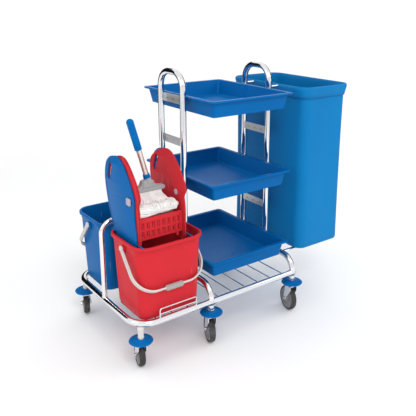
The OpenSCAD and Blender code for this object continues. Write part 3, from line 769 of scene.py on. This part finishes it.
def cheek_place(x, flip):
    """Plates lie in the yz plane; their outer side points along x, or against it."""
    return Matrix(((0, 0, flip, x), (1, 0, 0, 0), (0, 1, 0, rim_top), (0, 0, 0, 1)))


press = Shape()
for end in (-1, 1):
    outer = press_x + end * half_press
    pin_hole = disc(hinge.y, hinge.z - rim_top, 0.0069)
    plate(press, [shell_outline, grab, pin_hole], 0.0042, 0.0008, cheek_place(outer - end * 0.0048, end))
    border = inset(shell_outline, 0.0065)
    plate(press, [shell_outline, border], 0.0050, 0.0009, cheek_place(outer - end * 0.0050, end))
    plate(press, [inset(grab, -0.004), grab], 0.0050, 0.0006, cheek_place(outer - end * 0.0050, end))
    for thick, y0, y1 in ((0.005, -0.266, -0.200), (0.014, -0.084, -0.018)):
        inner = outer - end * thick
        press.block((min(outer, inner), y0, rim_top + 0.0001), (max(outer, inner), y1, rim_top + 0.0041),
                    0.0009, 0.002)
press.piece("press_cheek_pair", "press", blue_plastic, "blue", ["press_shell"])

back = Shape()
steep = move(press_x, -0.0775, rim_top - 0.0168) @ spin(-math.atan2(0.0395, 0.0695), "X")
lattice(back, steep, 2 * half_press - 0.0104, 0.078, 0.0055, 8, 3, 0.0042, 0.008)
upper = move(press_x, -0.0385, rim_top + 0.0510) @ spin(-math.atan2(0.0237, 0.0610), "X")
lattice(back, upper, 2 * half_press - 0.0104, 0.064, 0.0055, 8, 2, 0.0042, 0.008)
back.piece("press_back_grid", "press", blue_plastic, "blue", ["press_back"])
drain = Shape()
flat = move(press_x, -0.145, rim_top - 0.0132) @ spin(-math.pi / 2, "X")
lattice(drain, flat, 2 * half_press - 0.046, 0.0675, 0.0036, 7, 3, 0.006, 0.008)
drain.piece("press_drain_grate", "press", blue_plastic, "blue", ["press_drain"])

# ---- Pivot pins ----
# Square-headed moulded pins join the jaw to the cheeks.
pin_plastic = moulded_finish("pin_plastic", (0.46, 0.42, 0.47), 0.4, 0.9)
pins = Shape()
pin_low, pin_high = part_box("pivot_pins")
for end, outer in ((-1, pin_low.x), (1, pin_high.x)):
    across = move(outer, hinge.y, hinge.z) @ spin(-end * math.pi / 2, "Y")
    pins.block((-0.013, -0.013, 0.0003), (0.013, 0.013, 0.0078), 0.0016, 0.0035, across)
    pins.block((-0.0085, -0.0085, 0), (0.0085, 0.0085, 0.0012), 0.0005, 0.002, across)
    pins.turn([(0, 0.007), (0.00695, 0.007), (0.00695, 0.0204), (0.0106, 0.0205), (0.011, 0.0209),
               (0.0105, 0.0226), (0, 0.0229)], across, 36)
pins.piece("square_pivot_pins", "press", pin_plastic, "zinc", ["pivot_pins"])

# ---- Jaw ----
# The red half swings between the cheeks. Its two cheeks carry a pocketed front grid, which squeezes
# the mop against the back grid when the top is pulled.
jaw_low, jaw_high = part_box("jaw_cheeks")
jaw = Shape()
for end, outer in ((-1, jaw_low.x), (1, jaw_high.x)):
    eye = disc(hinge.y, hinge.z - rim_top, 0.00706)
    plate(jaw, [jaw_outline, grab, eye], 0.0042, 0.0008, cheek_place(outer - end * 0.0042, end))
    plate(jaw, [jaw_outline, inset(jaw_outline, 0.006)], 0.0050, 0.0009,
          cheek_place(outer - end * 0.0050, end))
    plate(jaw, [inset(grab, -0.0045), grab], 0.0050, 0.0006, cheek_place(outer - end * 0.0050, end))
    plate(jaw, [disc(hinge.y, hinge.z - rim_top, 0.015), eye], 0.0050, 0.0006,
          cheek_place(outer - end * 0.0050, end))
jaw.piece("jaw_cheek_pair", "jaw", red_plastic, "red", ["jaw_cheeks"])
grid_low, grid_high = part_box("jaw_grid")
grid = Shape()
wide = grid_high.x - grid_low.x
stand = move(press_x, grid_low.y + 0.0006, grid_high.z - 0.0828)
columns, cell_w, pitch = 8, 0.014, (wide - 0.030) / 7
middles = [(i - 3.5) * pitch for i in range(columns)]
for j in range(2):
    z0 = 0.009 + j * 0.033
    for x in middles:
        for a, b, c, d in ((-cell_w / 2, -0.0015, 0, 0.024), (0.0015, cell_w / 2, 0, 0.024),
                           (-0.0017, 0.0017, 0, 0.004), (-0.0017, 0.0017, 0.020, 0.024)):
            grid.block((x + a, 0.0040, z0 + c), (x + b, 0.0060, z0 + d), 0.0003, None, stand)
edges = [-wide / 2] + [x + side * cell_w / 2 for x in middles for side in (-1, 1)] + [wide / 2]
for a, b in zip(edges[::2], edges[1::2]):
    grid.block((a, 0.0004, 0), (b, 0.0064, 0.0786), 0.0011, None, stand)
for z0, z1 in ((0, 0.009), (0.033, 0.042), (0.066, 0.0790)):
    grid.block((-wide / 2, 0.0002, z0), (wide / 2, 0.0062, z1), 0.0013, None, stand)
grid.block((-wide / 2, -0.0005, 0.0745), (wide / 2, 0.0112, 0.0824), 0.0022, None, stand)
grid.block((wide / 2 - 0.026, 0.0010, -0.0128), (wide / 2 - 0.014, 0.0058, 0.0030), 0.0012, None, stand)
grid.piece("jaw_front_grid", "jaw", red_plastic, "red", ["jaw_grid"])

# ---- Mop handle ----
# A pale tube with a blue grip on top, a blue collar where it enters the clamp, leaning to the left.
tube_low, tube_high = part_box("mop_tube")
collar_low, collar_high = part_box("mop_collar")
clamp_low, clamp_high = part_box("mop_clamp")
lean = math.radians(16)
mop_y = (clamp_low.y + clamp_high.y) / 2
clamp_z = clamp_low.z
mop_x = (clamp_low.x + clamp_high.x) / 2
handle = move(mop_x, mop_y, clamp_z + 0.046) @ spin(-lean, "Y")
handle_length = (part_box("mop_grip")[1].z - 0.0135 - clamp_z - 0.046) / math.cos(lean)
pale_tube = Finish("pale_tube", Metallic=0.75)
brushed = pale_tube.noise(50.0, 3.0, (1.0, 1.0, 0.05))
pale_tube.feed("Base Color", pale_tube.mix(brushed, (0.66, 0.64, 0.60, 1.0), (0.78, 0.76, 0.72, 1.0)))
pale_tube.feed("Roughness", 0.20 + 0.15 * brushed)
rod = Shape()
rod.turn([(0.0085, -0.0295), (0.0097, -0.0300), (0.010, -0.0295), (0.010, handle_length - 0.0202),
          (0.0097, handle_length - 0.0200), (0.0085, handle_length - 0.0202), (0.0085, -0.0295)], handle,
         40)
rod.piece("mop_handle_tube", "mop", pale_tube, "tube", ["mop_tube"])
collar = Shape()
collar.turn([(0.01003, 0.0060), (0.0132, 0.0060), (0.0138, 0.0068), (0.0136, 0.0085), (0.0130, 0.0092),
             (0.0130, 0.0105), (0.0133, 0.0112), (0.0125, 0.0192), (0.0118, 0.0200), (0.01003, 0.0200),
             (0.01003, 0.0060)], handle, 40)
collar.piece("mop_collar_ring", "mop", blue_plastic, "blue", ["mop_collar"])
grip = Shape()
bottom = handle_length - 0.106
profile = [(0.01003, bottom), (0.0128, bottom), (0.0134, bottom + 0.0008), (0.0135, bottom + 0.0025),
           (0.0130, bottom + 0.0035), (0.0130, bottom + 0.0050), (0.0134, bottom + 0.0058)]
for i in range(9):
    z = bottom + 0.064 + i * 0.0045
    profile += [(0.0134, z - 0.0010), (0.0131, z - 0.0005), (0.0131, z + 0.0005), (0.0134, z + 0.0010)]
profile += [(0.0135 * math.cos(a), handle_length + 0.0135 * math.sin(a))
            for a in (math.pi / 2 * i / 12 for i in range(13))]
profile += [(0, handle_length - 0.0190), (0.01003, handle_length - 0.0190), (0.01003, bottom)]
grip.turn(profile, handle, 48)
grip.piece("mop_handle_grip", "mop", blue_plastic, "blue", ["mop_grip"])

# ---- Mop clamp ----
# A grey two-part jaw of moulded plastic grips the yarn band; a thumb screw closes it.
clamp_plastic = moulded_finish("clamp_plastic", (0.36, 0.37, 0.38), 0.40, 0.85)
clamp = Shape()
front = Matrix(((1, 0, 0, mop_x), (0, 0, -1, mop_y), (0, 1, 0, clamp_z), (0, 0, 0, 1)))
bar = [(end * (0.060 + 0.0079 * math.sin(math.pi * i / 10)),
        0.008 - end * 0.0079 * math.cos(math.pi * i / 10))
       for end in (-1, 1) for i in range(11)]
plate(clamp, [bar], 0.0256, 0.0022, front @ move(0, 0, -0.0128))
hump = [(-0.058, 0.0145), (0.060, 0.0145), (0.052, 0.0165), (0.034, 0.0205), (0.024, 0.0285),
        (0.019, 0.0400), (0.012, 0.0436), (-0.019, 0.0436), (-0.026, 0.0400), (-0.030, 0.0285),
        (-0.038, 0.0205), (-0.050, 0.0165)]
plate(clamp, [hump], 0.0220, 0.0020, front @ move(0, 0, -0.0110))
for x, high in ((-0.044, 0.0175), (-0.023, 0.0400), (0.017, 0.0400), (0.040, 0.0180)):
    plate(clamp, [[(x - 0.0012, 0.0150), (x + 0.0012, 0.0150), (x + 0.0012, high), (x - 0.0012, high)]],
          0.0252, 0.0004, front @ move(0, 0, -0.0126))
for x in (-0.052, 0.054):
    for side in (1, -1):
        rivet = [(0, 0.0120), (0.0056, 0.0120), (0.0056, 0.0128), (0.0048, 0.0130), (0, 0.0130)]
        clamp.turn([(r, side * z) for r, z in rivet], front @ move(x, 0.008, 0), 28)
clamp.turn([(0.01005, -0.018), (0.0136, -0.018), (0.0142, 0.0040), (0.0136, 0.0058), (0.01005, 0.0058),
            (0.01005, -0.018)],
           handle, 36)
clamp.piece("mop_jaw_clamp", "mop", clamp_plastic, "clamp", ["mop_clamp"])

# ---- Mop yarn ----
# Loops of thick white cotton yarn hang from the clamp into the press. The front ones are folded into
# a roll that lies along the top of the front grid.
cotton = Finish("cotton_yarn", Roughness=0.9, Specular_IOR_Level=0.2)
fibre = cotton.noise(700.0, 3.0)
shade = cotton.step(cotton.noise(35.0, 3.0), 0.3, 0.8)
cotton.feed("Base Color", cotton.mix(shade, (0.72, 0.72, 0.71, 1.0), (0.88, 0.88, 0.87, 1.0)))
cotton.bump(fibre, 0.0005, 0.4)
rng = random.Random(7)
yarn_low, yarn_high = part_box("mop_yarn")
yarn = Shape()


def strand(points, radius, twist=0.0):
    """A soft two-ply cord through the points."""
    controls = [Vector(p) for p in points]
    path = []
    for i in range(len(controls) - 1):
        near = [controls[min(max(i + k, 0), len(controls) - 1)] for k in (-1, 0, 1, 2)]
        path += [between(*near, j / 7) for j in range(7)]
    path.append(controls[-1])
    ply = [(radius * (1 + 0.16 * math.cos(2 * a)) * math.cos(a),
            radius * (1 + 0.16 * math.cos(2 * a)) * math.sin(a))
           for a in (math.tau * k / 8 for k in range(8))]
    rings, across = [], None
    for i, point in enumerate(path):
        along = (path[min(i + 1, len(path) - 1)] - path[max(i - 1, 0)]).normalized()
        across = along.orthogonal() if across is None else across - along * across.dot(along)
        across.normalize()
        over = along.cross(across)
        turn = twist * i
        ring = []
        for a, b in ply:
            u, v = a * math.cos(turn) - b * math.sin(turn), a * math.sin(turn) + b * math.cos(turn)
            place = point + across * u + over * v
            ring.append([min(max(place[k], yarn_low[k] - 0.002), yarn_high[k] + 0.002) for k in range(3)])
        rings.append(ring)
    yarn.loft(rings)


grid_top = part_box("jaw_grid")[1].z
roll_z, roll_y = grid_top + 0.0195, yarn_low.y + 0.0225
for row, count, front_y in ((0, 34, -0.010), (1, 30, -0.004), (2, 26, 0.008)):
    for i in range(count):
        u = (i + 0.5) / count * 2 - 1 + rng.uniform(-0.02, 0.02)
        sag = rng.uniform(-0.004, 0.004)
        spread = 0.081 * u + rng.uniform(-0.003, 0.003)
        bulge = (-0.030, -0.022, -0.004)[row] * math.sqrt(max(0.0, 1 - 0.5 * u * u))
        yarn_top = [(mop_x + 0.053 * u, mop_y + front_y * 0.7, clamp_z + 0.001),
                    (mop_x + 0.055 * u, mop_y + front_y * 0.9, clamp_z - 0.012),
                    (mop_x + 0.060 * u, mop_y - 0.018 + front_y + bulge * 0.45 + sag, grid_top + 0.044),
                    (mop_x + spread, mop_y - 0.020 + bulge * 0.7 + sag,
                     grid_top + 0.012 + rng.uniform(-0.006, 0.006))]
        if row == 0:
            yarn_top[3] = (mop_x + spread, mop_y - 0.040 + sag, grid_top + 0.040)
            tail = [(mop_x + spread, roll_y + 0.004, roll_z + 0.0215 + sag * 0.4),
                    (mop_x + spread, roll_y - 0.016, roll_z + 0.012),
                    (mop_x + spread, roll_y - 0.010, roll_z - 0.010)]
        else:
            tail = [(mop_x + spread, mop_y - 0.022 + bulge, rim_top + 0.055),
                    (mop_x + spread * 0.98, mop_y - 0.018 + bulge, rim_top + 0.020),
                    (mop_x + spread * 0.94, mop_y - 0.006 + bulge * 0.6, rim_top - 0.006)]
        strand(yarn_top + tail, 0.0030, 0.35)
for k in range(60):
    inner = math.sqrt(rng.uniform(0.45, 1.0))
    angle = math.tau * (k * 0.381966)
    points = []
    for j in range(9):
        t = j / 8
        x = mop_x - 0.083 + 0.171 * t
        taper = 1.0 if t < 0.72 else max(0.22, 1 - (t - 0.72) * 2.8)
        swell = (0.0190 + 0.0025 * math.sin(9 * t)) * inner * taper
        swirl = angle + 1.6 * t
        points.append((x, roll_y + swell * 0.85 * math.cos(swirl),
                       roll_z + 0.004 * t + swell * math.sin(swirl)))
    strand(points, 0.0031, 0.3)
mop_head = yarn.piece("mop_yarn_strands", "mop", cotton, "yarn", ["mop_yarn"], 180)
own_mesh(mop_head)

# ---- Trays ----
# Three equal blue moulded trays hang by their rims on the rack ledges.


def tray_rings(width, length, deep, z1):
    z0 = z1 - deep
    levels = [(0.0330, 0.005, z0 + 0.0010), (0.0270, 0.0082, z0), (0.0262, 0.0088, z0 + 0.0006),
              (0.0256, 0.009, z0 + 0.0040)]
    for share in (0.3, 0.6, 0.85):
        levels.append((0.0256 - 0.0106 * share, 0.009 + 0.002 * share, z0 + 0.004 + (deep - 0.010) * share))
    levels += [(0.0152, 0.0110, z1 - 0.0046), (0.0134, 0.0115, z1 - 0.0034), (0.0028, 0.0150, z1 - 0.0032),
               (0.0018, 0.0154, z1 - 0.0040), (0.0014, 0.0156, z1 - 0.0062), (0.0006, 0.0158, z1 - 0.0066),
               (0.0, 0.0160, z1 - 0.0060), (0.0, 0.0160, z1 - 0.0018), (0.0008, 0.0156, z1 - 0.0005),
               (0.0024, 0.0148, z1), (0.0150, 0.0112, z1), (0.0172, 0.0104, z1 - 0.0006),
               (0.0182, 0.0100, z1 - 0.0030), (0.0276, 0.0088, z0 + 0.0100), (0.0290, 0.0084, z0 + 0.0062),
               (0.0325, 0.0070, z0 + 0.0046), (0.0460, 0.0050, z0 + 0.0044), (0.0476, 0.0048, z0 + 0.0038),
               (0.0488, 0.0045, z0 + 0.0032)]
    return [rounded_ring(width - 2 * edge, length - 2 * edge, corner, z, 10) for edge, corner, z in levels]


for level in ("top", "middle", "bottom"):
    low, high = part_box(f"tray_{level}")
    middle = (low + high) / 2
    tray = Shape()
    tray.loft(tray_rings(high.x - low.x, high.y - low.y, high.z - low.z, high.z),
              move(middle.x, middle.y, 0))
    tray.piece(f"tray_{level}_moulding", f"tray_{level}", blue_plastic, "blue", [f"tray_{level}"])

# ---- Laundry bag ----
# A sewn bag of coated blue cloth, its top folded out over the wire hoop. It hangs almost straight,
# with soft vertical folds, and just rests on the bent tube.
coated = Finish("coated_cloth", Specular_IOR_Level=0.12)
weave_x = coated.node("ShaderNodeTexWave", {"bands_direction": "Z"},
                      {"Vector": coated.place, "Scale": 420.0})
weave_y = coated.node("ShaderNodeTexWave", {"bands_direction": "DIAGONAL"},
                      {"Vector": coated.place, "Scale": 300.0})
# Painted shade: noise stretched upright makes soft vertical bands of darker and lighter blue, standing for
# the shade of the cloth's folds; the same bands also raise the roughness.
painted_fold_shade = coated.step(coated.noise(3.2, 3.0, (1.0, 1.0, 0.35)), 0.3, 0.75)
coated.feed("Base Color", coated.mix(painted_fold_shade, (0.0, 0.165, 0.430, 1.0), (0.001, 0.192, 0.480, 1.0)))
coated.feed("Roughness", 0.46 + 0.12 * painted_fold_shade)
coated.bump(weave_x + weave_y, 0.0003, 0.3)
cloth_t, skirt_out, skirt_down, bag_corner = 0.0012, 0.0124, 0.048, 0.040
body_x, body_y = (bag_high.x - bag_low.x) / 2 - skirt_out, (bag_high.y - bag_low.y) / 2 - skirt_out
folds = [(rng.uniform(0, math.tau), rng.choice((5, 7, 9, 11)), rng.uniform(0.4, 1.0)) for _ in range(4)]


def bag_ring(offset, corner, z, slack):
    """One level of the cloth; slack is how far its folds stray from the true outline."""
    ring = rounded_ring(2 * (body_x + offset), 2 * (body_y + offset), corner + offset, z, 12)
    dense = []
    for i, point in enumerate(ring):
        after = ring[(i + 1) % len(ring)]
        gap = math.dist(point, after)
        pieces = max(1, round(gap / 0.012))
        dense += [tuple(Vector(point).lerp(Vector(after), k / pieces)) for k in range(pieces)]
    count = len(dense)
    moved = []
    for i, (x, y, height) in enumerate(dense):
        turn = math.tau * i / count
        wave = sum(share * math.sin(times * turn + phase + 1.7 * height) for phase, times,
                   share in folds) / 2.2
        before, after = Vector(dense[i - 1]), Vector(dense[(i + 1) % count])
        along = (after - before).normalized()
        shift = -slack * (0.5 + 0.5 * wave)
        moved.append((bag_x + x + along.y * shift, y - along.x * shift, height))
    return moved


bottom_z, top_z = bag_low.z, bag_high.z
levels = [(bottom_z + 0.0030, -0.014, 0.0), (bottom_z + 0.0008, -0.008, 0.0),
          (bottom_z + 0.0020, -0.0035, 0.0005), (bottom_z + 0.0070, -0.0008, 0.0010)]
for i in range(1, 15):
    share = i / 15
    levels.append((bottom_z + 0.007 + (top_z - skirt_down - bottom_z - 0.007) * share, -0.0004,
                   0.0016 + 0.0055 * math.sin(math.pi * share) ** 0.8))
levels += [(top_z - 0.046, -0.0005, 0.0016), (top_z - 0.020, -0.0005, 0.0006),
           (top_z - 0.006, -0.0002, 0.0), (top_z - 0.0016, 0.0016, 0.0), (top_z - 0.0004, 0.0042, 0.0),
           (top_z - 0.0006, 0.0078, 0.0), (top_z - 0.0030, 0.0106, 0.0),
           (top_z - 0.0070, skirt_out - 0.0006, 0.0), (top_z - 0.0140, skirt_out - 0.0010, 0.0),
           (top_z - 0.025, 0.0088, 0.0004), (top_z - 0.036, 0.0060, 0.0008),
           (top_z - skirt_down, 0.0034, 0.0010)]
shell = [bag_ring(offset, bag_corner, z, slack) for z, offset, slack in levels]
bag = Shape()
bag.loft(shell, ends=False)
first = len(shell[0])
centre = Vector((bag_x, 0, bottom_z + 0.0030))
rings = [shell[0]] + [[tuple(centre + (Vector(p) - centre) * share) for p in shell[0]]
                      for share in (0.8, 0.6, 0.4, 0.2, 0.05)]
bag.loft(rings, ends=False)
bag.faces.append([len(bag.points) - first + j for j in range(first)])
laundry = bag.piece("laundry_bag_cloth", "frame", coated, "bag", ["laundry_bag"], 180)
thicken = laundry.modifiers.new("cloth", "SOLIDIFY")
thicken.thickness = cloth_t
thicken.offset = 0.0
graph = bpy.context.evaluated_depsgraph_get()
laundry.data = bpy.data.meshes.new_from_object(laundry.evaluated_get(graph))
laundry.modifiers.clear()
laundry.data.shade_smooth()
stitch_gap, stitch_length = 0.006, 0.0042
hem = Shape()
for z in (top_z - skirt_down + 0.009, top_z - skirt_down + 0.011):
    ring = bag_ring(0.0034 + (z - top_z + skirt_down) * 0.22 + 0.0010, bag_corner, z, 0.0010)
    for i in range(len(ring)):
        a, b = Vector(ring[i]), Vector(ring[(i + 1) % len(ring)])
        length = (b - a).length
        for k in range(max(1, int(length / stitch_gap))):
            start = a.lerp(b, k * stitch_gap / length)
            stop = a.lerp(b, min(1.0, (k * stitch_gap + stitch_length) / length))
            if (stop - start).length > 0.001:
                hem.sweep([start, (start + stop) / 2, stop], circle(0.0004, 5), (0, 0, 1))
thread = Finish("bag_thread", Roughness=0.8, Base_Color=(0.002, 0.16, 0.45, 1.0))
thread.bump(thread.noise(900.0), 0.0002, 0.3)
stitches = hem.piece("bag_hem_stitches", "frame", thread, "bag", (), 180)
girth = 4 * (body_x + body_y) - 8 * bag_corner + math.tau * bag_corner
bag_length = top_z - bottom_z + skirt_down + body_x
cut_area = girth * (top_z - bottom_z + skirt_down) + 4 * body_x * body_y
seam, turned_hem = 0.02, 0.03
girth + seam
bag_length + turned_hem

# ---- Studio ----
# A pale seamless floor and soft lights. Dark cards outside the view give the chrome its stripes.
paper = Finish("white_sweep", Roughness=0.9, Specular_IOR_Level=0.1)
paper.feed("Base Color", paper.mix(paper.noise(2.0), (0.90, 0.90, 0.90, 1.0), (0.93, 0.93, 0.93, 1.0)))
sweep = Shape()
profile = [(-4.5, 0.0), (2.0, 0.0)] + [(2.0 + 1.2 * math.sin(a), 1.2 - 1.2 * math.cos(a)) for a in
                                         (math.pi / 2 * i / 12 for i in range(1, 13))] + [(3.2, 4.0)]
view_turn = math.radians(-37)
across_v = Vector((math.cos(view_turn), math.sin(view_turn), 0))
along_v = Vector((-math.sin(view_turn), math.cos(view_turn), 0))
sweep.add([across_v * side * 6 + along_v * d + Vector((0, 0, h)) for side in (-1, 1) for d, h in profile],
          [(i, i + 1, len(profile) + i + 1, len(profile) + i) for i in range(len(profile) - 1)])
mesh = bpy.data.meshes.new("studio_floor")
mesh.from_pydata(sweep.points, [], sweep.faces)
mesh.shade_smooth()
mesh.materials.append(paper.material)
floor_sheet = bpy.data.objects.new("studio_floor", mesh)
bpy.context.collection.objects.link(floor_sheet)
dark = Finish("dark_card", Roughness=1.0, Base_Color=(0.008, 0.008, 0.009, 1.0), Specular_IOR_Level=0.0)


def card(name, centre, width, height, face):
    """A flat dark card turned towards a point."""
    mesh = bpy.data.meshes.new(name)
    mesh.from_pydata([(-width / 2, -height / 2, 0), (width / 2, -height / 2, 0), (width / 2, height / 2, 0),
                      (-width / 2, height / 2, 0)], [], [(0, 1, 2, 3)])
    mesh.materials.append(dark.material)
    made = bpy.data.objects.new(name, mesh)
    bpy.context.collection.objects.link(made)
    made.location = centre
    made.rotation_euler = (Vector(face) - Vector(centre)).to_track_quat("Z", "Y").to_euler()
    made.visible_shadow = False
    made.visible_diffuse = False
    made.visible_camera = False


card("card_left", (-0.7, 2.9, 1.3), 3.8, 3.4, (0, 0, 0.9))
card("card_right", (3.0, -0.1, 1.3), 3.8, 3.4, (0, 0, 0.9))
card("card_front", (-1.9, -3.6, 1.2), 0.35, 2.8, (0, 0, 0.7))


def lamp(name, centre, target, size, power):
    light = bpy.data.lights.new(name, "AREA")
    light.shape = "DISK"
    light.size = size
    light.energy = power
    made = bpy.data.objects.new(name, light)
    bpy.context.collection.objects.link(made)
    made.location = centre
    made.rotation_euler = (Vector(target) - Vector(centre)).to_track_quat("-Z", "Y").to_euler()


lamp("key", (-1.2, -3.0, 3.2), (0, 0, 0.4), 1.6, 48)
lamp("fill", (-3.4, -0.2, 2.2), (0, 0, 0.5), 2.2, 8)
lamp("right", (3.0, -1.6, 2.4), (0, 0, 0.5), 2.2, 16)
world = bpy.data.worlds.new("studio")
world.use_nodes = True
world.node_tree.nodes["Background"].inputs["Color"].default_value = (1.0, 1.0, 1.0, 1.0)
world.node_tree.nodes["Background"].inputs["Strength"].default_value = 1.0
bpy.context.scene.world = world
bpy.context.scene.view_settings.view_transform = "Standard"
bpy.context.scene.view_settings.look = "None"

# ---- Camera ----
# Above and to the left of the working side, far enough back to hold the whole trolley.
camera = bpy.data.cameras.new("camera")
camera.sensor_width = 36.0
camera.lens = 50.971
camera.shift_x = -0.04928
camera.shift_y = -0.11418
camera_object = bpy.data.objects.new("camera", camera)
camera_object.location = (-1.413, -1.943, 1.327)
camera_object.rotation_euler = (math.radians(74.55), math.radians(-0.39), math.radians(-37.3))
bpy.context.collection.objects.link(camera_object)
bpy.context.scene.camera = camera_object
